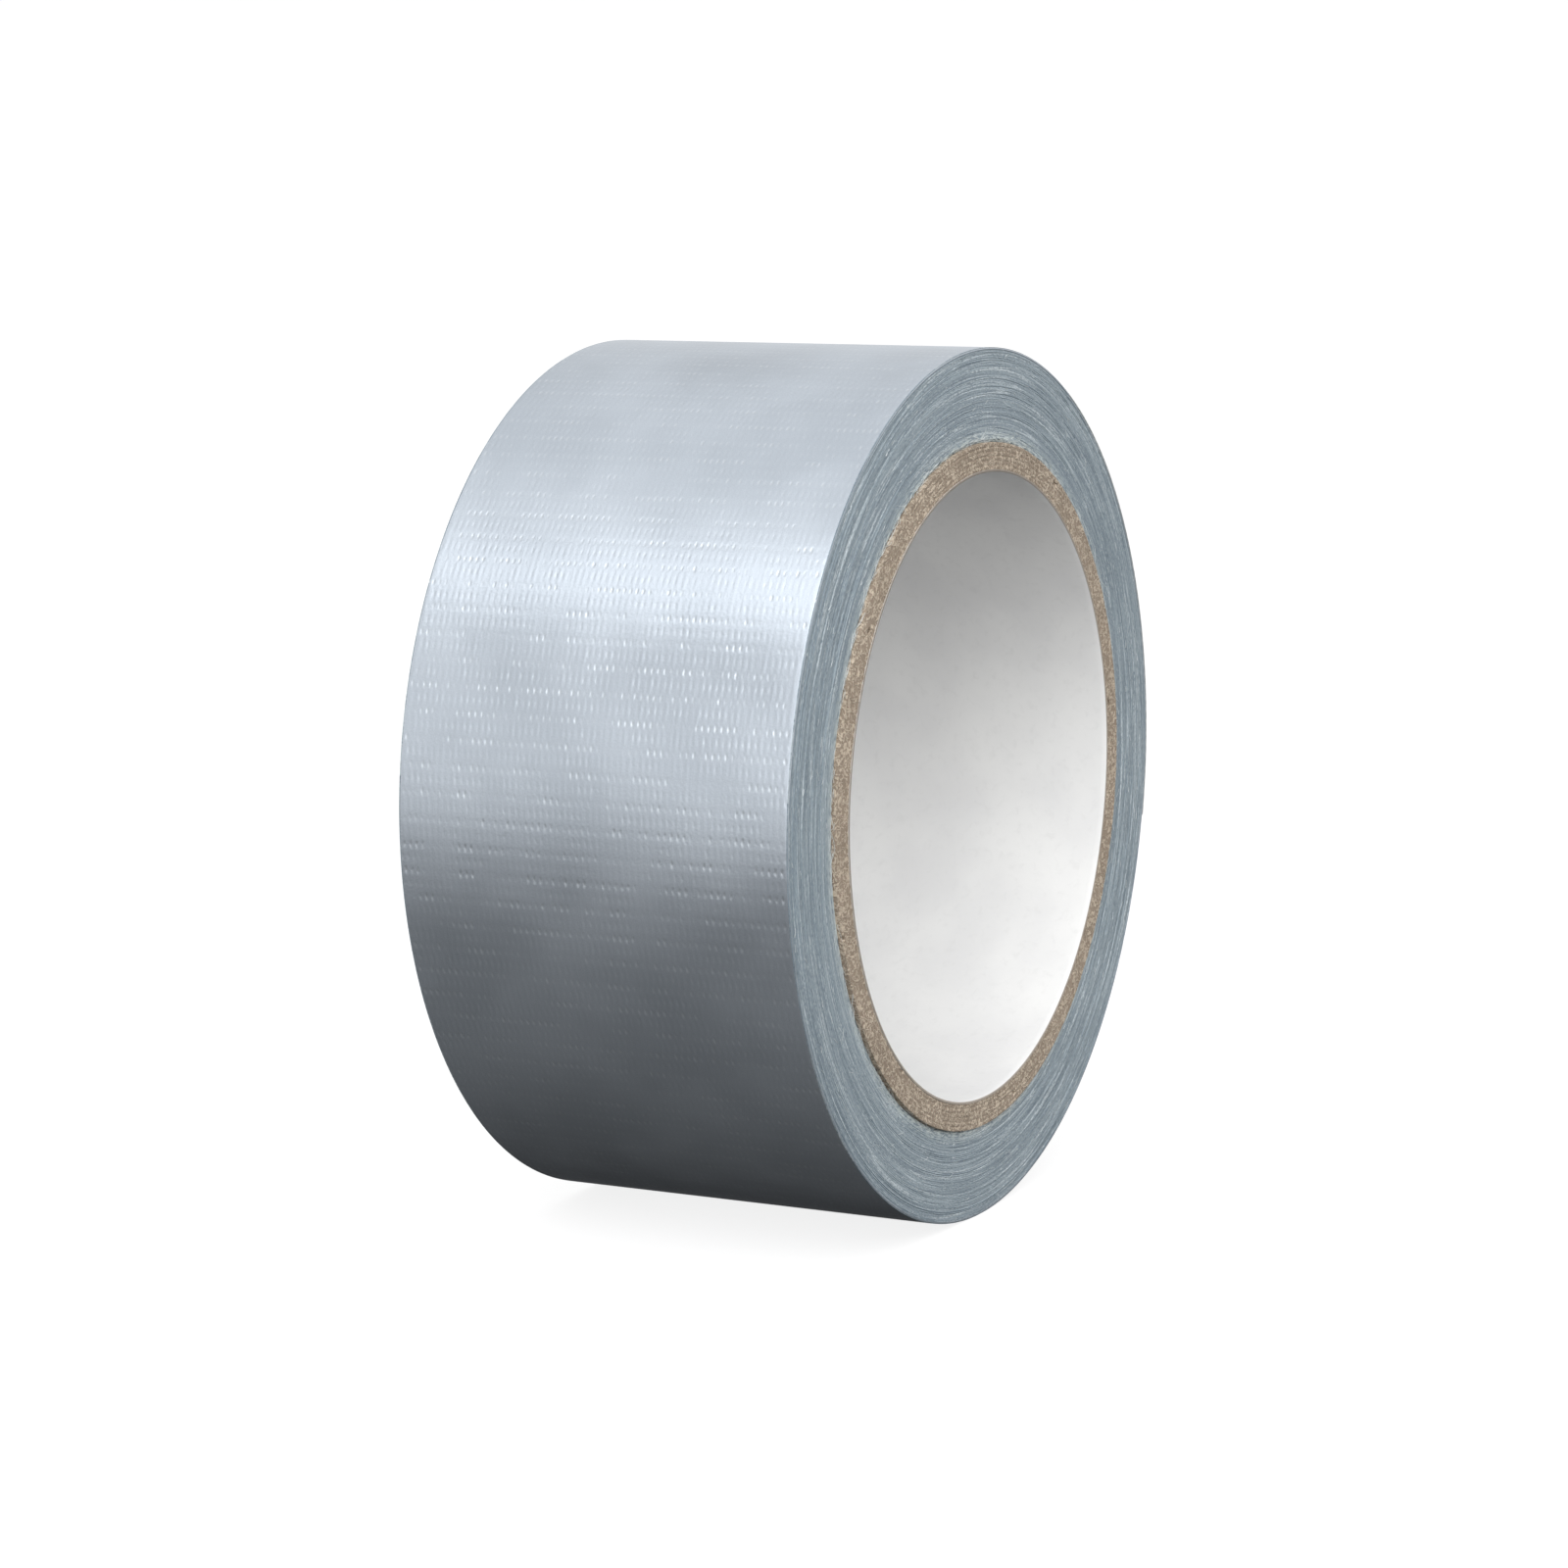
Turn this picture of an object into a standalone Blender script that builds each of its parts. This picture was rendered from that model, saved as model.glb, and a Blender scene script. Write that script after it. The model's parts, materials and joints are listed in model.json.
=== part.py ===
"""Duct tape roll: a spiral-wound board core, the tape wound on it, and the tape's free end.

The roll stands on its rim. The origin is the middle of the bore and the roll's axis is Y.
Angles are measured in the XZ plane from +X towards +Z. Every round surface is made of flat
facets between the same columns, so that nested layers stay parallel to each other.
Seen from -Y the tape winds outwards clockwise. Its last stretch, the lead, is a strip of
film, scrim and adhesive in short segments, each hinged to the one before it, so that it
can be peeled off the roll. Lengths are in metres.
"""

import math

import bmesh
import bpy
from mathutils import Vector

MM = 0.001

# Driving dimensions
TAPE_WIDTH = 50.0 * MM
BORE_RADIUS = 38.1 * MM
CORE_WALL = 3.5 * MM
CORE_OVERHANG = 0.5 * MM  # how far the core stands out of the tape on each side
OUTER_RADIUS = 53.0 * MM  # over the free end, the roll's highest point
TURN_PITCH = 0.225 * MM  # rise of the spiral in one turn

# Board core
LINER_THICKNESS = 0.25 * MM
PLY_COUNT = 6
GLUE_LINE = 0.02 * MM  # gap between two layers that are stuck together
SEAM_GAP = 0.15 * MM  # between the edges of a ply's strip, along the core
SEAM_RISE_PER_DEGREE = 0.324 * MM  # how far the seam moves along the core
LINER_SEAM_DEGREES = 95.0  # where the liner's seam leaves the -Y face
SEAM_STAGGER_DEGREES = 137.0  # from one ply's seam to the next one's
SEAM_STATION_DEGREES = 4.5
CUTTER_MARGIN = 1.0 * MM

# Tape laminate, from the sticky side outwards
ADHESIVE_THICKNESS = 0.05 * MM
SCRIM_THICKNESS = 0.08 * MM
FILM_THICKNESS = 0.06 * MM
LAMINATE_LINE = 0.01 * MM

# Columns: the facets' edges, numbered round the roll
COLUMNS = 80
COLUMN_DEGREES = 360.0 / COLUMNS
FIRST_COLUMN_DEGREES = COLUMN_DEGREES / 2  # a facet then faces straight down

# Lead
LEAD_SEGMENTS = 8
COLUMNS_PER_SEGMENT = 2
PEEL_COLUMN = 13
FREE_END_COLUMN = PEEL_COLUMN - LEAD_SEGMENTS * COLUMNS_PER_SEGMENT
SEGMENT_GAP = 0.1 * MM  # between the end faces of two segments
STEP_SHARE = 0.02  # of a column, taken by the step where the lead begins

CORE_RADIUS = BORE_RADIUS + CORE_WALL
CORE_END = TAPE_WIDTH / 2 + CORE_OVERHANG
PLY_THICKNESS = (CORE_WALL - LINER_THICKNESS) / PLY_COUNT - GLUE_LINE
FACET_WIDTH = 2 * OUTER_RADIUS * math.sin(math.radians(COLUMN_DEGREES / 2))
HALF_GAP_SHARE = SEGMENT_GAP / 2 / FACET_WIDTH

KRAFT_BOARD = ((0.36, 0.27, 0.19), 0.90)
WHITE_PAPER = ((0.82, 0.82, 0.82), 0.60)
SILVER_FILM = ((0.55, 0.60, 0.65), 0.35)
WOVEN_YARN = ((0.75, 0.76, 0.74), 0.85)
GREY_ADHESIVE = ((0.60, 0.61, 0.58), 0.50)


def clear_scene():
    for obj in list(bpy.data.objects):
        bpy.data.objects.remove(obj)


def material(name, look):
    colour, roughness = look
    made = bpy.data.materials.get(name)
    if made is None:
        made = bpy.data.materials.new(name)
        made.use_nodes = True
        shader = made.node_tree.nodes["Principled BSDF"]
        shader.inputs["Base Color"].default_value = (*colour, 1.0)
        shader.inputs["Roughness"].default_value = roughness
        shader.inputs["Metallic"].default_value = 0.0
    return made


def polar(radius, degrees, y=0.0):
    angle = math.radians(degrees)
    return Vector((radius * math.cos(angle), y, radius * math.sin(angle)))


def column_degrees(column):
    return FIRST_COLUMN_DEGREES + column * COLUMN_DEGREES


def on_facet(radius_at, column):
    """The point at this column, or part of the way along the flat facet to the next one."""
    low = math.floor(column)
    start = polar(radius_at(low), column_degrees(low))
    end = polar(radius_at(low + 1), column_degrees(low + 1))
    return start.lerp(end, column - low)


def last_turn_radius(column):
    """Outer radius of the tape's last turn, which ends at the free end."""
    turned = (column - FREE_END_COLUMN) / COLUMNS
    return OUTER_RADIUS - TURN_PITCH * turned


def section(inner, outer, y_low, y_high):
    """Four corners of a sheet's cross-section, in order round it."""
    return [
        Vector((inner.x, y_low, inner.z)),
        Vector((outer.x, y_low, outer.z)),
        Vector((outer.x, y_high, outer.z)),
        Vector((inner.x, y_high, inner.z)),
    ]


def sheet_object(name, sections, closed, origin=Vector((0.0, 0.0, 0.0))):
    """One closed body that joins the sections in order, with its object at the given origin."""
    shape = bmesh.new()
    rings = [[shape.verts.new(corner - origin) for corner in corners] for corners in sections]
    pairs = list(zip(rings, rings[1:]))
    if closed:
        pairs.append((rings[-1], rings[0]))
    else:
        shape.faces.new(rings[0])
        shape.faces.new(rings[-1])
    for ring, following in pairs:
        for i in range(4):
            j = (i + 1) % 4
            shape.faces.new((ring[i], ring[j], following[j], following[i]))
    bmesh.ops.recalc_face_normals(shape, faces=shape.faces)
    mesh = bpy.data.meshes.new(name)
    shape.to_mesh(mesh)
    shape.free()
    obj = bpy.data.objects.new(name, mesh)
    bpy.context.scene.collection.objects.link(obj)
    return obj


def finish(obj, material_name, look):
    obj.data.materials.append(material(material_name, look))
    obj.data.shade_smooth()
    obj.data.set_sharp_from_angle(angle=math.radians(30.0))
    return obj


def tube(name, inner_radius, outer_radius):
    sections = []
    for column in range(COLUMNS):
        inner = polar(inner_radius, column_degrees(column))
        outer = polar(outer_radius, column_degrees(column))
        sections.append(section(inner, outer, -CORE_END, CORE_END))
    return sheet_object(name, sections, closed=True)


def cut_spiral_seam(obj, inner_radius, outer_radius, start_degrees):
    """Opens the slit between the edges of the strip that the ply was wound from."""
    reach = CORE_END + CUTTER_MARGIN
    turn = 2 * reach / SEAM_RISE_PER_DEGREE
    steps = math.ceil(turn / SEAM_STATION_DEGREES)
    sections = []
    for i in range(steps + 1):
        degrees = start_degrees + turn * i / steps
        y = -reach + 2 * reach * i / steps
        inner = polar(inner_radius - CUTTER_MARGIN, degrees)
        outer = polar(outer_radius + CUTTER_MARGIN, degrees)
        sections.append(section(inner, outer, y - SEAM_GAP / 2, y + SEAM_GAP / 2))
    cutter = sheet_object(obj.name + "_seam_cutter", sections, closed=False)
    cutter.hide_render = True
    cutter.display_type = "WIRE"
    seam = obj.modifiers.new("Spiral seam", "BOOLEAN")
    seam.operation = "DIFFERENCE"
    seam.solver = "EXACT"
    seam.object = cutter


def core():
    """The white liner and the kraft plies glued round it, each a spiral strip of its own."""
    inner = BORE_RADIUS
    outer = inner + LINER_THICKNESS
    liner = tube("core_liner", inner, outer)
    cut_spiral_seam(liner, inner, outer, LINER_SEAM_DEGREES)
    finish(liner, "white_paper", WHITE_PAPER)
    for number in range(1, PLY_COUNT + 1):
        inner = outer + GLUE_LINE
        outer = inner + PLY_THICKNESS
        ply = tube(f"core_ply_{number}", inner, outer)
        cut_spiral_seam(ply, inner, outer, LINER_SEAM_DEGREES + number * SEAM_STAGGER_DEGREES)
        finish(ply, "kraft_board", KRAFT_BOARD)


def wound_tape():
    """All turns up to the peel line, stuck together. The lead lies in the pocket before it."""

    def pocket_radius(column):
        return last_turn_radius(column) - TURN_PITCH

    inner_radius = CORE_RADIUS + GLUE_LINE
    stations = [(c, pocket_radius) for c in range(FREE_END_COLUMN, PEEL_COLUMN + 1)]
    stations.append((PEEL_COLUMN + STEP_SHARE, last_turn_radius))
    last_column = FREE_END_COLUMN + COLUMNS
    stations += [(c, last_turn_radius) for c in range(PEEL_COLUMN + 1, last_column)]
    sections = []
    for column, radius_at in stations:
        inner = on_facet(lambda _: inner_radius, column)
        outer = on_facet(radius_at, column)
        sections.append(section(inner, outer, -TAPE_WIDTH / 2, TAPE_WIDTH / 2))
    finish(sheet_object("wound_tape", sections, closed=True), "silver_film", SILVER_FILM)


def lead_layer(name, start_column, below, thickness, origin):
    """One layer of one segment. below is how deep its outer face lies under the film's."""

    def outer_radius(column):
        return last_turn_radius(column) - below

    def inner_radius(column):
        return outer_radius(column) - thickness

    end_column = start_column - COLUMNS_PER_SEGMENT
    columns = [start_column - HALF_GAP_SHARE]
    columns += range(start_column - 1, end_column, -1)
    columns.append(end_column + HALF_GAP_SHARE)
    sections = []
    for column in columns:
        inner = on_facet(inner_radius, column)
        outer = on_facet(outer_radius, column)
        sections.append(section(inner, outer, -TAPE_WIDTH / 2, TAPE_WIDTH / 2))
    return sheet_object(name, sections, closed=False, origin=origin)


def hinge_line(segment):
    """The line that a segment turns about: the film's outer face where the segment begins."""
    column = PEEL_COLUMN - (segment - 1) * COLUMNS_PER_SEGMENT
    return polar(last_turn_radius(column), column_degrees(column))


def lead():
    """The peelable end, a chain of segments with each one's empty on its hinge line."""
    layers = (
        ("film", FILM_THICKNESS, "silver_film", SILVER_FILM),
        ("scrim", SCRIM_THICKNESS, "woven_yarn", WOVEN_YARN),
        ("adhesive", ADHESIVE_THICKNESS, "grey_adhesive", GREY_ADHESIVE),
    )
    previous = None
    for segment in range(1, LEAD_SEGMENTS + 1):
        start_column = PEEL_COLUMN - (segment - 1) * COLUMNS_PER_SEGMENT
        origin = hinge_line(segment)
        hinge = bpy.data.objects.new(f"lead_hinge_{segment}", None)
        bpy.context.scene.collection.objects.link(hinge)
        hinge.parent = previous
        hinge.location = origin if previous is None else origin - hinge_line(segment - 1)
        below = 0.0
        for layer, thickness, material_name, look in layers:
            name = f"lead_{layer}_{segment}"
            obj = lead_layer(name, start_column, below, thickness, origin)
            obj.parent = hinge
            finish(obj, material_name, look)
            below += thickness + LAMINATE_LINE
        previous = hinge


clear_scene()
core()
wound_tape()
lead()
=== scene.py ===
"""Looks of the duct tape roll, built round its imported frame.

Lengths are in metres. Directions round the roll are degrees in the XZ plane, from +X towards +Z.
A place along the tape is its turn angle: degrees from the free end, growing inwards along the
spiral, so that 360 is the same direction one turn deeper.
"""

import json
import math

import bmesh
import bpy
import numpy as np
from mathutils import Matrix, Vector, noise


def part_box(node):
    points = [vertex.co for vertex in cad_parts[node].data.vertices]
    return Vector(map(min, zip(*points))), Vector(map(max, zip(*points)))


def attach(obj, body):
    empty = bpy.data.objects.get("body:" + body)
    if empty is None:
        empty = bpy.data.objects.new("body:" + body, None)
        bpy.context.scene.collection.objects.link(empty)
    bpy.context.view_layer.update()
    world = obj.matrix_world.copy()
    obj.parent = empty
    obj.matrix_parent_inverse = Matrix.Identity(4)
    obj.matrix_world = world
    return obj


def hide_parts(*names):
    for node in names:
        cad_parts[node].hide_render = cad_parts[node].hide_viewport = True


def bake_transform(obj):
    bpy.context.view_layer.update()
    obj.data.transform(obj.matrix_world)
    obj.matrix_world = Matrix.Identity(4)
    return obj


MM = 0.001
SEED = 20

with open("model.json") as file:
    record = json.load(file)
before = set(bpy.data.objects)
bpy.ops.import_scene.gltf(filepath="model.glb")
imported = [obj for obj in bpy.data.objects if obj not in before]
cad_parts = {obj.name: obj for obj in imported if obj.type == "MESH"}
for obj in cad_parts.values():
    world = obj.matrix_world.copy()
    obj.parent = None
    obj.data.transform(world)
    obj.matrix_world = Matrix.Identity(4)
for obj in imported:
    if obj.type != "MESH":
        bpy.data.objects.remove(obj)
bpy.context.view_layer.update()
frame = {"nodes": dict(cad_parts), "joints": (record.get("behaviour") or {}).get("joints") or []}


# ---------------------------------------------------------------- sizes, from the frame

def node_radii(node):
    radii = [math.hypot(v.co.x, v.co.z) for v in frame["nodes"][node].data.vertices]
    return min(radii), max(radii)


def direction(point):
    return math.degrees(math.atan2(point.z, point.x))


HINGES = [Vector(joint["pos_m"]) for joint in frame["joints"]]  # from the peel line outwards
SEGMENTS = len(HINGES)
SEGMENT = direction(HINGES[0]) - direction(HINGES[1])
LEAD = SEGMENT * SEGMENTS  # the turn angle of the peel line
FREE_DIRECTION = direction(HINGES[0]) - LEAD
PEEL_RADIUS = math.hypot(HINGES[0].x, HINGES[0].z)
LAST_HINGE_RADIUS = math.hypot(HINGES[-1].x, HINGES[-1].z)
PITCH = (LAST_HINGE_RADIUS - PEEL_RADIUS) / (LEAD - SEGMENT) * 360
FREE_RADIUS = PEEL_RADIUS + PITCH * LEAD / 360
CORE_RADIUS = node_radii("wound_tape")[0]
BORE_RADIUS = node_radii("core_liner")[0]
HALF_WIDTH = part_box("wound_tape")[1].y
HALF_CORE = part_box("core_liner")[1].y
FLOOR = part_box("wound_tape")[0].z
PLIES = sum(name.startswith("core_ply") for name in frame["nodes"])

# Thicknesses of the laminate's layers, from the outside in
FILM = 0.06 * MM
SCRIM = 0.08 * MM
ADHESIVE = 0.05 * MM
LAMINATE_LINE = 0.01 * MM  # between two layers

# The weave that shows through the film
RIB = 0.81 * MM  # between warp yarns, which run along the tape
ROW = 1.55 * MM  # between weft yarns, which run across it
EMBOSS = 0.008 * MM
UNEVENNESS = 0.01 * MM
RIB_STEPS = 4  # grid steps from one rib to the next
ROW_STEPS = 4  # and from one row to the next
MM_PER_DEGREE = math.radians(FREE_RADIUS) / MM
ROW_DEGREES = ROW / MM / MM_PER_DEGREE
RIM_ROUND = 0.28 * MM  # how far from the rim the film turns down
RIM_DROP = 0.15 * MM

# The side faces: how far their parts lie inside the film's rim
OUTER_SUNK = 0.05 * MM  # the last turn's outer edge
OUTER_DEPTH = 0.03 * MM  # how far that edge lies under the film's outer face
RIDGE_BY_TURN = 0.05 * MM  # ridges vary by this much slowly, along half a turn
RIDGE_BY_THREAD = 0.02 * MM  # and by this much quickly, from yarn to yarn
GROOVE = 0.06 * MM  # the grooves between turns
GROOVE_VARIES = 0.03 * MM
INNER_SUNK = 0.22 * MM  # the first turn, against the core
EDGES_REACH = 1.0 * MM  # the hidden face of the edges' body

# The core
LINER_SEAM_DEGREES = 95.0
SEAM_STAGGER_DEGREES = 137.0  # from one ply's seam to the next one's
SEAM_RISE = 0.324 * MM  # how far a seam moves along the core in a degree
PLY_LINE = 0.01 * MM  # between two plies
PLY_ROUGHNESS = 0.10 * MM  # of a cut end
PLY_RIM = 0.05 * MM  # how far a cut end's rims lie behind its middle
PLY_COLUMNS = 960
PLY_ROWS = 4
NOTCH = 0.35 * MM  # depth of the seam's notch in a cut end
NOTCH_DEGREES = 0.4  # its reach to either side of the seam
LINER_COLUMNS = 360
LINER_ROWS = 61
LINER_RIM = 0.05 * MM  # bevel at both ends
LINER_GROOVE = 0.14 * MM  # depth of the seam's groove
GROOVE_PROFILE = (-0.12 * MM, -0.05 * MM, 0.05 * MM, 0.12 * MM)  # places across it
GROOVE_HALF_WIDTH = 0.08 * MM

# Loose fibres
EDGE_FIBRES = 520  # on each side face
CORE_FIBRES = 330  # how many of those lie round the core
EDGE_YARN = 0.028 * MM  # a yarn's radius
END_YARN = 0.03 * MM


# ---------------------------------------------------------------- materials

def linear(red, green, blue):
    """A shader colour from an sRGB one with 0 to 255 channels."""
    channels = []
    for channel in (red, green, blue):
        c = channel / 255
        channels.append(c / 12.92 if c <= 0.04045 else ((c + 0.055) / 1.055) ** 2.4)
    return (*channels, 1.0)


FILM_DARK = linear(180, 188, 197)
FILM_LIGHT = linear(192, 200, 209)
BOARD_DARK = linear(150, 135, 119)
BOARD_LIGHT = linear(201, 186, 167)
EDGE_DARK = linear(134, 147, 156)
EDGE_LIGHT = linear(145, 158, 166)


class Look:
    """A Principled material and short ways to wire nodes into it."""

    def __init__(self, name):
        self.material = bpy.data.materials.new(name)
        self.material.use_nodes = True
        self.tree = self.material.node_tree
        self.shader = self.tree.nodes["Principled BSDF"]

    def feed(self, socket, value):
        if isinstance(value, bpy.types.NodeSocket):
            self.tree.links.new(value, socket)
        else:
            socket.default_value = value

    def node(self, kind, output=0, inputs=None, **settings):
        made = self.tree.nodes.new(kind)
        for key, value in settings.items():
            setattr(made, key, value)
        for key, value in (inputs or {}).items():
            self.feed(made.inputs[key], value)
        return made.outputs[output]

    def math(self, operation, a, b=0.0):
        return self.node("ShaderNodeMath", 0, {0: a, 1: b}, operation=operation)

    def times(self, a, b):
        return self.math("MULTIPLY", a, b)

    def wave(self, turns):
        """1 at whole numbers and 0 halfway between them."""
        cosine = self.math("COSINE", self.times(turns, 2 * math.pi))
        return self.times(self.math("ADD", cosine, 1.0), 0.5)

    def ramp(self, value, low, high, to_low=0.0, to_high=1.0):
        inputs = {"Value": value, "From Min": low, "From Max": high}
        inputs.update({"To Min": to_low, "To Max": to_high})
        return self.node("ShaderNodeMapRange", 0, inputs, interpolation_type="SMOOTHSTEP")

    def noise(self, vector, scale, detail=2.0, distortion=0.0):
        inputs = {"Vector": vector, "Scale": scale, "Detail": detail, "Distortion": distortion}
        return self.node("ShaderNodeTexNoise", 0, inputs)

    def mix(self, factor, a, b):
        made = self.tree.nodes.new("ShaderNodeMix")
        made.data_type = "RGBA"
        self.feed(made.inputs[0], factor)
        self.feed(made.inputs[6], a)
        self.feed(made.inputs[7], b)
        return made.outputs[2]

    def combine(self, x, y, z):
        return self.node("ShaderNodeCombineXYZ", 0, {0: x, 1: y, 2: z})

    def place(self):
        """Where this point is on the object, in metres, as separate x, y and z and as a vector."""
        vector = self.node("ShaderNodeTexCoord", "Object")
        parts = self.tree.nodes.new("ShaderNodeSeparateXYZ")
        self.tree.links.new(vector, parts.inputs[0])
        return parts.outputs[0], parts.outputs[1], parts.outputs[2], vector

    def on_tape(self):
        """Where this point is on the tape in millimetres: along it, across it, and the vector."""
        vector = self.node("ShaderNodeAttribute", "Vector", attribute_name="on_tape")
        parts = self.tree.nodes.new("ShaderNodeSeparateXYZ")
        self.tree.links.new(vector, parts.inputs[0])
        return parts.outputs[0], parts.outputs[1], vector

    def bump(self, height, distance):
        normal = self.node("ShaderNodeBump", 0, {"Height": height, "Distance": distance})
        self.tree.links.new(normal, self.shader.inputs["Normal"])

    def surface(self, **inputs):
        for name, value in inputs.items():
            self.feed(self.shader.inputs[name.replace("_", " ")], value)
        return self.material


def weave_nodes(look):
    """The weave at a point on the tape, each 0 to 1: its weft rows, its warp ribs, and the dimples
    that the film makes beside the crossings, weaker in every second row."""
    along, across, place = look.on_tape()
    rows = look.math("DIVIDE", along, ROW / MM)
    number = look.math("ROUND", rows)
    odd = look.math("PINGPONG", number, 1.0)
    ribs = look.math("DIVIDE", across, RIB / MM)
    shifted = look.math("ADD", ribs, look.times(odd, 0.5))
    cell = look.combine(number, look.math("ROUND", shifted), 0.0)
    chance = look.node("ShaderNodeTexWhiteNoise", "Value", {"Vector": cell}, noise_dimensions="2D")
    row = look.math("POWER", look.wave(rows), 1.6)
    dot = look.math("POWER", look.wave(shifted), 2.0)
    present = look.ramp(look.noise(place, 0.22, 3.0), 0.34, 0.60, 0.12, 1.0)
    strength = look.math("SUBTRACT", 1.0, look.times(odd, 0.6))
    strength = look.times(strength, look.ramp(chance, 0.0, 0.7, 0.3, 1.0))
    strength = look.times(strength, present)
    dimple = look.times(look.times(row, dot), strength)
    stretched = look.combine(look.times(along, 0.16), look.times(across, 1.1), 0.0)
    rib = look.wave(ribs)
    rib = look.times(rib, look.ramp(look.noise(stretched, 1.0, 3.0), 0.3, 0.65))
    return row, rib, dimple


def film_material():
    look = Look("silver_film")
    _, _, place = look.on_tape()
    _, rib, dimple = weave_nodes(look)
    cloud = look.noise(place, 0.06, 3.0)
    tone = look.mix(look.ramp(cloud, 0.3, 0.7), FILM_DARK, FILM_LIGHT)
    grain = look.noise(place, 6.0, 2.0)
    tone = look.mix(look.ramp(grain, 0.35, 0.65, 0.0, 0.10), tone, linear(120, 130, 140))
    # Painted highlight: the dimples are painted lighter, on top of the bump that shapes them
    tone = look.mix(look.times(dimple, 0.25), tone, linear(236, 241, 244))
    height = look.math("SUBTRACT", look.times(rib, 0.25), dimple)
    height = look.math("ADD", height, look.times(look.noise(place, 3.0, 2.0), 0.35))
    look.bump(height, 0.05 * MM)
    roughness = look.ramp(cloud, 0.3, 0.7, 0.31, 0.36)
    return look.surface(Base_Color=tone, Metallic=0.72, Roughness=roughness)


def edge_material():
    """The roll's side faces: the cut edges of all the turns."""
    look = Look("tape_edge")
    x, _, z, _ = look.place()
    radius = look.math("SQRT", look.math("ADD", look.times(x, x), look.times(z, z)))
    turns = look.math("DIVIDE", radius, PITCH)
    round_x = look.math("DIVIDE", x, radius)
    round_z = look.math("DIVIDE", z, radius)

    def streaks(per_turn, around, detail=2.0):
        """Noise drawn out along the turns."""
        across = look.times(turns, per_turn)
        place = look.combine(across, look.times(round_x, around), look.times(round_z, around))
        return look.noise(place, 1.0, detail)

    def thin(value, width):
        """1 where the value crosses its middle."""
        return look.ramp(look.math("ABSOLUTE", look.math("SUBTRACT", value, 0.5)), width, 0.0)

    broad = streaks(0.16, 0.5)
    fine = streaks(0.9, 4.0)
    speckle = streaks(2.2, 90.0)
    flecks = streaks(3.0, 34.0)
    tone = look.mix(look.ramp(broad, 0.35, 0.65), EDGE_DARK, EDGE_LIGHT)
    tone = look.mix(look.ramp(fine, 0.42, 0.70, 0.0, 0.8), tone, linear(110, 124, 134))
    tone = look.mix(look.ramp(speckle, 0.52, 0.74, 0.0, 0.5), tone, linear(182, 193, 198))
    tone = look.mix(look.ramp(speckle, 0.42, 0.28, 0.0, 0.6), tone, linear(84, 97, 106))

    # Pale lines that wander from turn to turn, one broken set and one fainter set
    broken = look.ramp(speckle, 0.30, 0.62)
    line = look.times(thin(streaks(0.30, 0.9, 1.5), 0.028), broken)
    tone = look.mix(look.times(line, 0.8), tone, linear(204, 213, 217))
    line = thin(streaks(0.55, 1.6, 1.0), 0.016)
    line = look.times(line, look.ramp(broad, 0.4, 0.55))
    tone = look.mix(look.times(line, 0.55), tone, linear(196, 206, 211))

    # Pale flecks, dark specks, and painted shade that darkens the last turns at the outer rim
    tone = look.mix(look.ramp(flecks, 0.66, 0.73, 0.0, 0.8), tone, linear(218, 225, 226))
    specks = look.ramp(streaks(1.5, 75.0), 0.25, 0.19, 0.0, 0.85)
    tone = look.mix(specks, tone, linear(62, 72, 76))
    # Painted shade: the last turns are darkened, standing in for the shadow along the rim under the
    # film
    last = look.ramp(radius, FREE_RADIUS - 0.75 * MM, FREE_RADIUS - 0.35 * MM, 0.0, 0.35)
    tone = look.mix(last, tone, linear(88, 101, 112))

    # Frayed tufts round the core, with painted shade in the gaps between them next to the core
    tufts = streaks(1.3, 40.0)
    near_core = look.ramp(radius, CORE_RADIUS + 1.9 * MM, CORE_RADIUS + 0.1 * MM)
    frayed = look.times(near_core, look.ramp(tufts, 0.42, 0.60))
    tone = look.mix(look.times(frayed, 0.75), tone, linear(206, 214, 210))
    # Painted shade: the gaps between the tufts are darkened where the tape meets the core
    at_core = look.ramp(radius, CORE_RADIUS + 0.7 * MM, CORE_RADIUS + 0.2 * MM)
    gap_shade = look.times(at_core, look.ramp(tufts, 0.44, 0.34))
    tone = look.mix(look.times(gap_shade, 0.8), tone, linear(74, 82, 76))
    look.bump(look.math("ADD", speckle, look.times(fine, 0.7)), 0.05 * MM)
    return look.surface(Base_Color=tone, Metallic=0.1, Roughness=0.55)


def board_material():
    """Pressed grey-brown fibres: short pale squiggles over a darker ground."""
    look = Look("kraft_board")
    _, _, _, place = look.place()
    field = look.noise(place, 1350.0, 1.0, 0.9)
    offset = look.math("ABSOLUTE", look.math("SUBTRACT", field, 0.5))
    squiggle = look.ramp(offset, 0.10, 0.015)
    fine = look.noise(place, 4200.0, 2.0, 0.5)
    cloud = look.noise(place, 160.0, 2.0)
    tone = look.mix(squiggle, BOARD_DARK, BOARD_LIGHT)
    tone = look.mix(look.ramp(fine, 0.45, 0.75, 0.0, 0.4), tone, linear(176, 163, 146))
    tone = look.mix(look.ramp(cloud, 0.35, 0.65, 0.0, 0.2), tone, linear(112, 98, 82))
    look.bump(look.math("ADD", squiggle, look.times(fine, 0.5)), 0.08 * MM)
    return look.surface(Base_Color=tone, Roughness=0.92)


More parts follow.
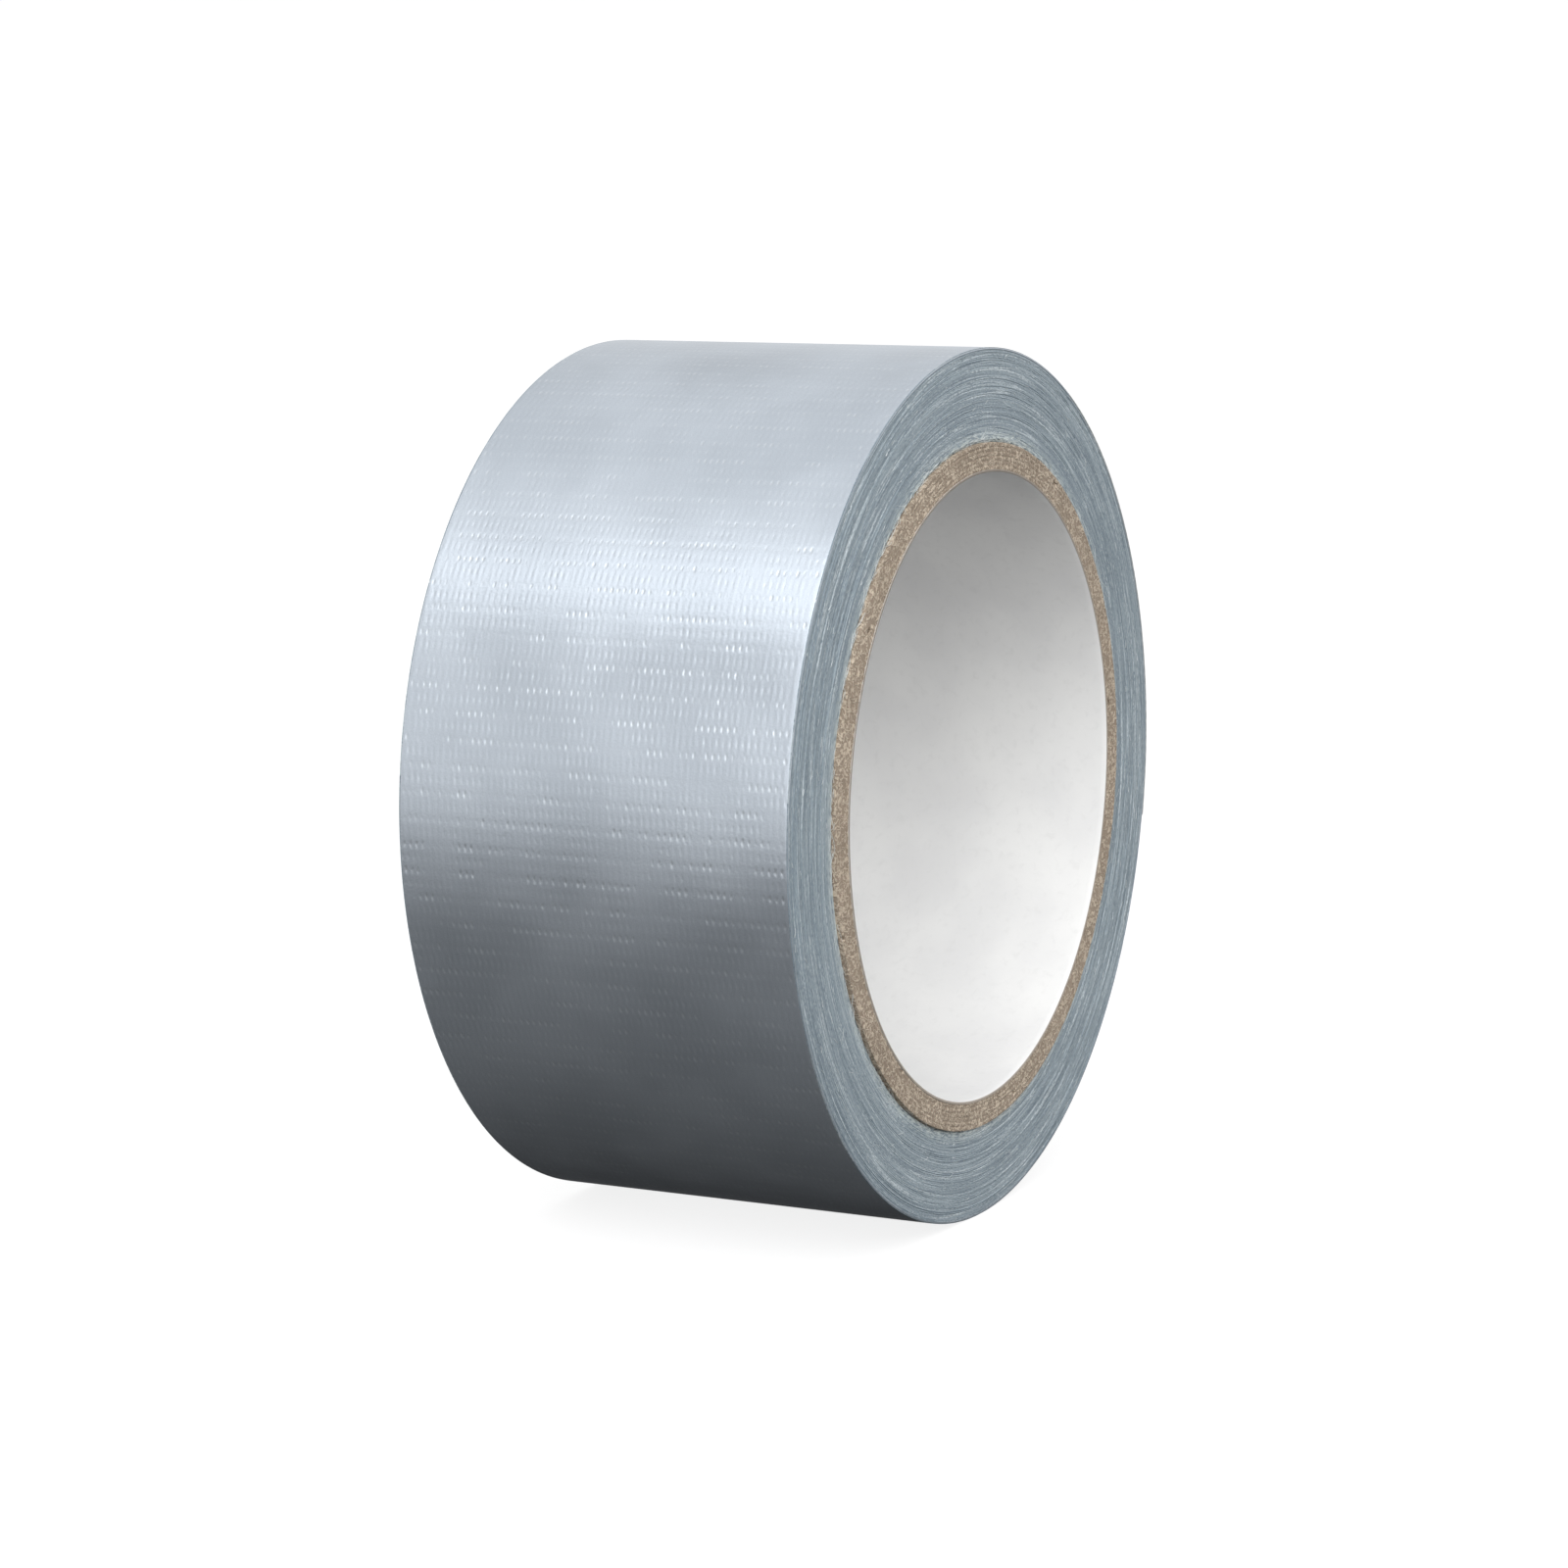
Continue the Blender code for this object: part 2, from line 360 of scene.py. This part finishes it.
def paper_material():
    """White paper, with its cut ends stained by the board's dust."""
    look = Look("white_paper")
    _, y, _, place = look.place()
    fibre = look.noise(place, 900.0, 4.0, 0.4)
    cloud = look.noise(place, 70.0, 3.0)
    tone = look.mix(look.ramp(cloud, 0.3, 0.7), linear(222, 222, 222), linear(231, 231, 230))
    tone = look.mix(look.ramp(fibre, 0.5, 0.8, 0.0, 0.25), tone, linear(206, 206, 205))
    cut = look.ramp(look.math("ABSOLUTE", y), HALF_CORE - 0.09 * MM, HALF_CORE - 0.04 * MM)
    tone = look.mix(look.times(cut, 0.85), tone, linear(138, 125, 110))
    look.bump(fibre, 0.02 * MM)
    return look.surface(Base_Color=tone, Roughness=0.62)


def yarn_material():
    look = Look("woven_yarn")
    _, _, _, place = look.place()
    twist = look.noise(place, 5200.0, 2.0, 0.6)
    tone = look.mix(twist, linear(196, 202, 203), linear(240, 242, 240))
    look.bump(twist, 0.02 * MM)
    return look.surface(Base_Color=tone, Roughness=0.85)


def adhesive_material():
    """Grey adhesive with the weave showing through where it lies thin over the yarns."""
    look = Look("grey_adhesive")
    _, _, place = look.on_tape()
    row, rib, _ = weave_nodes(look)
    yarns = look.math("MAXIMUM", look.times(rib, 0.75), row)
    patchy = look.ramp(look.noise(place, 0.35, 3.0), 0.25, 0.75, 0.45, 1.0)
    shown = look.times(yarns, patchy)
    tone = look.mix(shown, linear(150, 154, 153), linear(196, 198, 193))
    smear = look.noise(place, 1.3, 3.0, 0.8)
    tone = look.mix(look.ramp(smear, 0.5, 0.75, 0.0, 0.35), tone, linear(128, 133, 134))
    look.bump(look.math("ADD", look.times(yarns, 0.8), smear), 0.04 * MM)
    roughness = look.ramp(smear, 0.3, 0.7, 0.28, 0.5)
    return look.surface(Base_Color=tone, Roughness=roughness)


def floor_material():
    look = Look("studio_floor")
    _, _, _, place = look.place()
    tone = look.mix(look.noise(place, 3.0), linear(118, 118, 118), linear(122, 122, 122))
    glow = {"Emission_Color": (1.0, 1.0, 1.0, 1.0), "Emission_Strength": 0.84}
    return look.surface(Base_Color=tone, Roughness=0.95, **glow)


# ---------------------------------------------------------------- meshes

def piece(name, points, quads, polygons=(), on_tape=None):
    """A smooth piece from points, faces with four corners and a few faces with more."""
    sizes = np.array([4] * len(quads) + [len(face) for face in polygons])
    corners = np.concatenate([np.ravel(quads)] + [np.asarray(face) for face in polygons])
    mesh = bpy.data.meshes.new(name)
    mesh.vertices.add(len(points))
    mesh.vertices.foreach_set("co", np.ravel(points).astype(np.float32))
    mesh.loops.add(len(corners))
    mesh.loops.foreach_set("vertex_index", corners.astype(np.int32))
    mesh.polygons.add(len(sizes))
    starts = np.concatenate([[0], np.cumsum(sizes)[:-1]])
    mesh.polygons.foreach_set("loop_start", starts.astype(np.int32))
    mesh.update(calc_edges=True)
    mesh.validate()
    shape = bmesh.new()
    shape.from_mesh(mesh)
    bmesh.ops.recalc_face_normals(shape, faces=shape.faces)
    shape.to_mesh(mesh)
    shape.free()
    if on_tape is not None:
        attribute = mesh.attributes.new("on_tape", "FLOAT_VECTOR", "POINT")
        attribute.data.foreach_set("vector", np.ravel(on_tape).astype(np.float32))
    mesh.shade_smooth()
    mesh.set_sharp_from_angle(angle=math.radians(50))
    obj = bpy.data.objects.new(name, mesh)
    bpy.context.scene.collection.objects.link(obj)
    return obj


def dress(obj, material, slot, body, *replaced):
    """Gives a piece its material, the body it rides and the nodes it stands for. The slot is not
    used.
    """
    obj.data.materials.append(material)
    if body:
        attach(obj, body)
    if replaced:
        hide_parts(*replaced)


def quads_between(first, second):
    """Faces between two equally long lists of vertex numbers."""
    return np.stack([first[:-1], first[1:], second[1:], second[:-1]], axis=1)


def slab(name, front, back, front_place=None, back_place=None):
    """A closed sheet. front is a grid of points, rows by columns. back has only its first and
    last rows, because nothing shows between them."""
    rows, columns = front.shape[:2]
    grid = np.arange(rows * columns).reshape(rows, columns)
    low, high = rows * columns + np.arange(2 * columns).reshape(2, columns)
    quads = [quads_between(grid[i], grid[i + 1]) for i in range(rows - 1)]
    quads += [quads_between(grid[-1], high), quads_between(high, low), quads_between(low, grid[0])]
    ends = [np.append(grid[:, end], [high[end], low[end]]) for end in (0, -1)]
    points = np.concatenate([front.reshape(-1, 3), back.reshape(-1, 3)])
    on_tape = None
    if front_place is not None:
        on_tape = np.concatenate([front_place.reshape(-1, 3), back_place.reshape(-1, 3)])
    return piece(name, points, np.concatenate(quads), ends, on_tape)


def tape_radius(turn):
    return FREE_RADIUS - PITCH * turn / 360


def round_points(radius, degrees, y):
    angle = np.radians(degrees)
    shape = np.broadcast(radius, degrees, y).shape
    parts = (radius * np.cos(angle), y, radius * np.sin(angle))
    return np.stack([np.broadcast_to(part, shape) for part in parts], axis=-1)


def spiral_points(turn, depth, y):
    """Points at a depth below the film's nominal outer face."""
    return round_points(tape_radius(turn) - depth, FREE_DIRECTION + turn, y)


def ripple(turn, y):
    """Slow unevenness of the wound film, from -1 to 1."""
    rng = np.random.default_rng(SEED)
    total = 0.0
    for _ in range(6):
        around, across, phase = rng.uniform(2, 14), rng.uniform(-140, 140), rng.uniform(0, 7)
        total = total + np.sin(np.radians(turn) * around + y * across + phase)
    return total / 6


def emboss(turn, y):
    """Depth of the film's outer face below its highest level: ribs, and dimples in the rows."""
    rows = turn / ROW_DEGREES
    odd = np.round(rows) % 2
    rib = 0.5 + 0.5 * np.cos(2 * np.pi * y / RIB)
    dot = 0.5 + 0.5 * np.cos(2 * np.pi * (y / RIB + odd / 2))
    row = (0.5 + 0.5 * np.cos(2 * np.pi * rows)) * (1 - 0.6 * odd)
    return EMBOSS * (1 + 0.6 * row * dot - 0.4 * rib) + UNEVENNESS * (1 + ripple(turn, y))


def tape_place(turn, y):
    turn, y = np.broadcast_arrays(turn, y)
    return np.stack([turn * MM_PER_DEGREE, y / MM, np.zeros_like(turn)], axis=-1)


def across_tape():
    """Where the grid's rows lie across the tape, and how far each turns down at the rim."""
    half = HALF_WIDTH - RIM_ROUND
    steps = int(round(2 * half / RIB * RIB_STEPS))
    flat = np.linspace(-half, half, steps + 1)
    corner = np.radians([22.5, 45.0, 67.5, 90.0])
    out = half + RIM_ROUND * np.sin(corner)
    down = RIM_DROP * (1 - np.cos(corner))
    y = np.concatenate([-out[::-1], flat, out])
    drop = np.concatenate([down[::-1], np.zeros(len(flat)), down])
    return y[:, None], drop[:, None]


def along_tape(start, end):
    """Turn angles of a grid's columns, on the rows' crests, valleys and between them."""
    steps = max(2, int(round((end - start) / ROW_DEGREES * ROW_STEPS)))
    return np.linspace(start, end, steps + 1)[None, :]


def on_a_row(turn):
    """The nearest crest or valley, where two pieces meet without a visible line."""
    return round(turn / ROW_DEGREES * 2) / 2 * ROW_DEGREES


def layer(name, start, end, top, thickness, outside_fine=True, plain=False):
    """A stretch of one layer of the tape, with its fine face outside or inside. A plain one has
    no relief, because nothing of it shows but its edges."""
    turn = along_tape(start, end)
    y, drop = across_tape()
    if plain:
        y, drop = y[[0, -1]], 0 * drop[[0, -1]]
    rims = y[[0, -1]]
    if outside_fine:
        relief = 0 if plain else emboss(turn, y)
        rounded = drop * min(1.0, 0.8 * thickness / RIM_DROP)
        front = spiral_points(turn, top + relief + rounded, y)
        back = spiral_points(turn, top + thickness, rims)
    else:
        relief = (emboss(turn, y) - EMBOSS) * 0.8
        front = spiral_points(turn, top + thickness + relief - drop * 0.2, y)
        back = spiral_points(turn, top, rims)
    return slab(name, front, back, tape_place(turn, y), tape_place(turn, rims))


# ---------------------------------------------------------------- the wound tape

def wound_tape(film, edge):
    """The film outside, one continuous spiral turn from the peel line to itself one turn deeper."""
    arcs = 3
    cuts = [LEAD] + [on_a_row(LEAD + 360 * i / arcs) for i in range(1, arcs)] + [LEAD + 360]
    for i in range(arcs):
        name = f"wound_film_{i + 1}"
        obj = layer(name, cuts[i], cuts[i + 1], 0.0, PITCH)
        dress(obj, film, "silver_film", "root", "wound_tape")
    for name, side in (("front", -1), ("back", 1)):
        obj = side_face(f"wound_edges_{name}", side)
        dress(obj, edge, "silver_film", "root", "wound_tape")


def along_edges(turn, every, reach, seed):
    """A smooth random value along the whole length of the tape, from 0 to reach."""
    rng = np.random.default_rng(SEED + seed)
    knots = np.arange(0, 360 * 60, every)
    return np.interp(turn, knots, rng.uniform(0, reach, len(knots)))


def side_face(name, side):
    """The edges of all the turns, each a ridge of its own between two grooves."""
    turn = along_tape(LEAD, LEAD + 360)
    deepest = tape_radius(LEAD + 360) - CORE_RADIUS
    half_turns = 2 * int(deepest / PITCH)
    counted = np.arange(half_turns + 1)[:, None]
    number = counted / 2
    wound = turn + 360 * number
    ridge = along_edges(wound, 190.0, RIDGE_BY_TURN, 1 + side)
    ridge = ridge + along_edges(wound, 2.5, RIDGE_BY_THREAD, 5 + side)
    groove = along_edges(wound, 37.0, GROOVE_VARIES, 9 + side) + GROOVE
    sunk = np.where(counted % 2 == 1, ridge, groove)
    sunk[0] = OUTER_SUNK
    depth = PITCH * number + np.zeros_like(turn)
    depth[0] = OUTER_DEPTH
    depth = np.concatenate([depth, tape_radius(turn) - CORE_RADIUS])
    sunk = np.concatenate([sunk, np.full_like(turn, INNER_SUNK)])
    front = spiral_points(turn, depth, side * (HALF_WIDTH - sunk))
    back = spiral_points(turn, depth[[0, -1]], side * (HALF_WIDTH - EDGES_REACH))
    return slab(name, front, back)


# ---------------------------------------------------------------- the lead

def lead(film, scrim, adhesive):
    """The peelable end. Each piece reaches from the middle of one segment to the middle of the
    next."""
    cuts = [LEAD] + [on_a_row(LEAD - SEGMENT * (k + 0.5)) for k in range(SEGMENTS)] + [0.0]
    scrim_top = FILM + LAMINATE_LINE
    adhesive_top = FILM + SCRIM + 2 * LAMINATE_LINE
    layers = (
        ("film", film, "silver_film", 0.0, FILM, {}),
        ("scrim", scrim, "woven_yarn", scrim_top, SCRIM, {"plain": True}),
        ("adhesive", adhesive, "grey_adhesive", adhesive_top, ADHESIVE, {"outside_fine": False}),
    )
    for label, material, slot, top, thickness, how in layers:
        for k in range(SEGMENTS + 1):
            start, end = cuts[k + 1], cuts[k]
            last = k == SEGMENTS
            name = f"lead_{label}_tip" if last else f"lead_{label}_strip_{k + 1}"
            obj = layer(name, start, end, top, thickness, **how)
            if last:
                dress(obj, material, slot, f"lead_{SEGMENTS}")
                continue
            dress(obj, material, slot, None, f"lead_{label}_{k + 1}")
            from_point = spiral_points(np.array(end), 0.0, 0.0)
            to_point = spiral_points(np.array(start), 0.0, 0.0)
            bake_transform(obj)


# ---------------------------------------------------------------- the core

def tube(name, loops):
    """A closed surface from loops of points, each joined to the next and the last to the first."""
    count, columns = loops.shape[:2]
    grid = np.arange(count * columns).reshape(count, columns)
    grid = np.concatenate([grid, grid[:, :1]], axis=1)
    quads = [quads_between(grid[i], grid[(i + 1) % count]) for i in range(count)]
    return piece(name, loops.reshape(-1, 3), np.concatenate(quads))


def ply_end(radii, degrees, side, seam_direction):
    """Points of a ply's end: rough where it was cut, with a notch at its seam."""
    rows = []
    for i, radius in enumerate(radii):
        rim = 0 if 0 < i < len(radii) - 1 else PLY_RIM
        row = []
        for t in degrees:
            a = math.radians(t)
            x, z = radius * math.cos(a), radius * math.sin(a)
            place = Vector((x, side, z))
            bumpy = noise.noise(place * 1900) + 0.6 * noise.noise(place * 4100)
            sunk = PLY_ROUGHNESS * (0.55 - 0.5 * bumpy) + rim
            off_seam = abs((t - seam_direction + 180) % 360 - 180)
            if off_seam < NOTCH_DEGREES:
                sunk += NOTCH
            row.append((x, side * (HALF_CORE - sunk), z))
        rows.append(row)
    return np.array(rows)


def ply(name, inner, outer, seams):
    """A kraft ply with both ends detailed and plain walls. seams has each end's seam direction."""
    degrees = np.arange(PLY_COLUMNS) * 360 / PLY_COLUMNS
    radii = np.linspace(inner, outer, PLY_ROWS)
    front = ply_end(radii, degrees, -1, seams[0])
    back = ply_end(radii[::-1], degrees, 1, seams[1])
    return tube(name, np.concatenate([front, back]))


def liner(name, inner, outer):
    """The smooth lining. Its grid is twisted to follow its seam, a narrow groove in the bore."""
    offsets = np.arange(1, LINER_COLUMNS) * 360 / LINER_COLUMNS
    groove = np.degrees(np.array(GROOVE_PROFILE) / BORE_RADIUS)
    offsets = np.sort(np.concatenate([offsets, groove % 360]))
    near = np.minimum(offsets, 360 - offsets) * math.radians(1) * BORE_RADIUS
    cut = np.where(near < GROOVE_HALF_WIDTH, LINER_GROOVE, 0.0)
    y = np.linspace(-HALF_CORE + LINER_RIM, HALF_CORE - LINER_RIM, LINER_ROWS)
    y = np.concatenate([[-HALF_CORE], y, [HALF_CORE]])[:, None]
    bevel = LINER_RIM * (np.abs(y) > HALF_CORE - LINER_RIM / 2)
    degrees = LINER_SEAM_DEGREES + offsets + (y + HALF_CORE) / SEAM_RISE
    inside = round_points(inner + cut + bevel, degrees, y)
    outside = round_points(outer, degrees, y)
    return tube(name, np.concatenate([inside, outside[::-1]]))


def core(board, paper):
    outer = node_radii("core_liner")[1]
    lining = liner("liner_paper", BORE_RADIUS, outer)
    dress(lining, paper, "white_paper", "root", "core_liner")
    turned = 2 * HALF_CORE / SEAM_RISE
    for number in range(1, PLIES + 1):
        node = f"core_ply_{number}"
        inner = outer + PLY_LINE
        outer = node_radii(node)[1]
        start = LINER_SEAM_DEGREES + SEAM_STAGGER_DEGREES * number
        obj = ply(f"board_ply_{number}", inner, outer, (start, start + turned))
        dress(obj, board, "kraft_board", "root", node)


# ---------------------------------------------------------------- loose fibres

def fibres(name, paths, thickness):
    """Thin three-sided yarns, each tapering along its own list of points."""
    points, quads, ends = [], [], []
    for path in paths:
        base = len(points)
        for i, point in enumerate(path):
            ahead = path[min(i + 1, len(path) - 1)] - path[max(i - 1, 0)]
            side = ahead.orthogonal().normalized()
            other = ahead.cross(side).normalized()
            size = thickness * (1 - 0.5 * i / (len(path) - 1))
            for corner in range(3):
                a = 2 * math.pi * corner / 3
                points.append(point + size * (side * math.cos(a) + other * math.sin(a)))
        for i in range(len(path) - 1):
            for corner in range(3):
                a, b = base + 3 * i + corner, base + 3 * i + (corner + 1) % 3
                quads.append((a, b, b + 3, a + 3))
        ends.append([base, base + 1, base + 2])
        ends.append([base + 3 * (len(path) - 1) + c for c in range(3)])
    return piece(name, np.array(points), np.array(quads), ends)


def edge_fibres(side, rng):
    """Frayed ends of the weave on a side face, most of them round the core, where some stand up."""
    paths = []
    wall = FREE_RADIUS - CORE_RADIUS
    for i in range(EDGE_FIBRES):
        by_core = i < CORE_FIBRES
        low, high = (0.0, 0.7 * MM) if by_core else (0.8 * MM, wall - 0.6 * MM)
        radius = CORE_RADIUS + rng.uniform(low, high)
        degrees = rng.uniform(0, 360)
        length = rng.uniform(0.5, 2.2 if by_core else 1.2) * MM
        lean = rng.uniform(-0.5, 0.5)
        curl = rng.uniform(-0.9, 0.9)
        height = rng.uniform(0.0, 0.07) * MM
        stands = by_core and rng.random() < 0.4
        tip = rng.uniform(0.25, 0.5) * MM if stands else 0.0
        path = []
        for step in range(6):
            part = step / 5
            r = radius + length * part * lean * (1 + curl * part)
            t = degrees + math.degrees(length * part / radius) * (1 if i % 2 else -1)
            r = max(r, CORE_RADIUS + 0.03 * MM)
            lift = height * math.sin(math.pi * part) + tip * part - 0.05 * MM
            a = math.radians(t)
            path.append(Vector((r * math.cos(a), side * (HALF_WIDTH + lift), r * math.sin(a))))
        paths.append(path)
    return paths


def free_end_fibres(rng):
    """Warp yarns that stick out of the cut end, one from most ribs and a few longer ones."""
    paths = []
    for i in range(int(2 * HALF_WIDTH / RIB)):
        y = -HALF_WIDTH + (i + 0.5) * RIB + rng.uniform(-0.1, 0.1) * MM
        length = rng.uniform(0.15, 0.5) * MM if rng.random() < 0.85 else rng.uniform(0.9, 2.4) * MM
        bend = rng.uniform(-0.5, 0.5)
        path = []
        for step in range(5):
            part = step / 4
            turn = 0.05 - math.degrees(length * part / FREE_RADIUS)
            depth = FILM + LAMINATE_LINE + SCRIM * 0.5
            path.append(Vector(spiral_points(np.array(turn), depth, y + bend * length * part ** 2)))
        paths.append(path)
    return paths


def loose_fibres(yarn):
    rng = np.random.default_rng(SEED + 3)
    for name, side in (("front", -1), ("back", 1)):
        obj = fibres(f"frayed_yarn_{name}", edge_fibres(side, rng), EDGE_YARN)
        dress(obj, yarn, "woven_yarn", "root")
    obj = fibres("frayed_yarn_free_end", free_end_fibres(rng), END_YARN)
    dress(obj, yarn, "woven_yarn", f"lead_{SEGMENTS}")


# ---------------------------------------------------------------- studio

# How bright the surroundings are, from straight down at 0 to straight up at 1
SKY = (
    (0.10, 0.04), (0.25, 0.01), (0.36, 0.13), (0.46, 0.79),
    (0.64, 0.90), (0.78, 0.64), (0.92, 0.95),
)


def look_at(obj, target):
    obj.rotation_mode = "QUATERNION"
    obj.rotation_quaternion = (Vector(target) - obj.location).to_track_quat("-Z", "Y")


def soft_light(name, location, size, power, target=(0.0, 0.0, 0.0)):
    data = bpy.data.lights.new(name, "AREA")
    data.shape = "RECTANGLE"
    data.size, data.size_y = size
    data.energy = power
    obj = bpy.data.objects.new(name, data)
    obj.location = location
    look_at(obj, target)
    bpy.context.scene.collection.objects.link(obj)


def toward(azimuth, elevation, distance):
    """A place round the roll. Azimuth 0 is towards -Y and 90 is towards +X."""
    a, e = math.radians(azimuth), math.radians(elevation)
    return Vector((math.sin(a) * math.cos(e), -math.cos(a) * math.cos(e), math.sin(e))) * distance


def studio():
    scene = bpy.context.scene
    scene.view_settings.view_transform = "Standard"
    scene.view_settings.look = "None"
    world = bpy.data.worlds.new("studio")
    scene.world = world
    world.use_nodes = True
    tree = world.node_tree
    background = tree.nodes["Background"]
    coordinates = tree.nodes.new("ShaderNodeTexCoord")
    parts = tree.nodes.new("ShaderNodeSeparateXYZ")
    colours = tree.nodes.new("ShaderNodeValToRGB")
    shift = tree.nodes.new("ShaderNodeMath")
    shift.operation = "MULTIPLY_ADD"
    shift.inputs[1].default_value = 0.5
    shift.inputs[2].default_value = 0.5
    tree.links.new(coordinates.outputs["Generated"], parts.inputs[0])
    tree.links.new(parts.outputs["Z"], shift.inputs[0])
    tree.links.new(shift.outputs[0], colours.inputs[0])
    tree.links.new(colours.outputs[0], background.inputs["Color"])
    stops = colours.color_ramp.elements
    while len(stops) < len(SKY):
        stops.new(1.0)
    for stop, (position, level) in zip(stops, SKY):
        stop.position = position
        stop.color = (level, level, level, 1)
    background.inputs["Strength"].default_value = 1.0

    soft_light("key_strip", toward(-102, 50, 0.75), (0.75, 0.22), 0.75, target=(-0.03, 0, 0.02))
    soft_light("upper_left", toward(-55, 45, 0.9), (0.9, 0.6), 4.5)
    soft_light("left_window", toward(-72, 18, 0.9), (1.1, 0.8), 3.2)
    soft_light("front", toward(-8, 12, 0.9), (1.0, 0.8), 1.2)

    floor = floor_sweep()
    floor.data.materials.append(floor_material())
    floor.visible_glossy = False
    floor.visible_diffuse = False
    floor.visible_shadow = False


def floor_sweep():
    """A pale round floor that curves up into a wall far away on every side."""
    profile = [(0.01, 0.0), (2.0, 0.0), (2.6, 0.1), (3.0, 0.5), (3.1, 1.2), (3.1, 3.0)]
    points, quads = [], []
    sides = 96
    for radius, height in profile:
        for i in range(sides):
            a = 2 * math.pi * i / sides
            points.append((radius * math.cos(a), radius * math.sin(a), FLOOR + height))
    for k in range(len(profile) - 1):
        for i in range(sides):
            j = (i + 1) % sides
            quads.append((k * sides + i, k * sides + j, (k + 1) * sides + j, (k + 1) * sides + i))
    mesh = bpy.data.meshes.new("studio_floor")
    mesh.from_pydata(points, [], quads + [tuple(range(sides))[::-1]])
    mesh.shade_smooth()
    obj = bpy.data.objects.new("studio_floor", mesh)
    bpy.context.scene.collection.objects.link(obj)
    return obj


def camera():
    data = bpy.data.cameras.new("camera")
    data.lens = 99.4
    data.sensor_width = 36.0
    data.shift_x = -0.0087
    data.shift_y = -0.0061
    data.clip_start = 0.01
    data.clip_end = 50.0
    obj = bpy.data.objects.new("camera", data)
    obj.location = toward(-63.6, 8.0, 0.534)
    look_at(obj, (0, 0, 0))
    bpy.context.scene.collection.objects.link(obj)
    bpy.context.scene.camera = obj


camera()
studio()
film_look = film_material()
yarn_look = yarn_material()
core(board_material(), paper_material())
wound_tape(film_look, edge_material())
lead(film_look, yarn_look, adhesive_material())
loose_fibres(yarn_look)
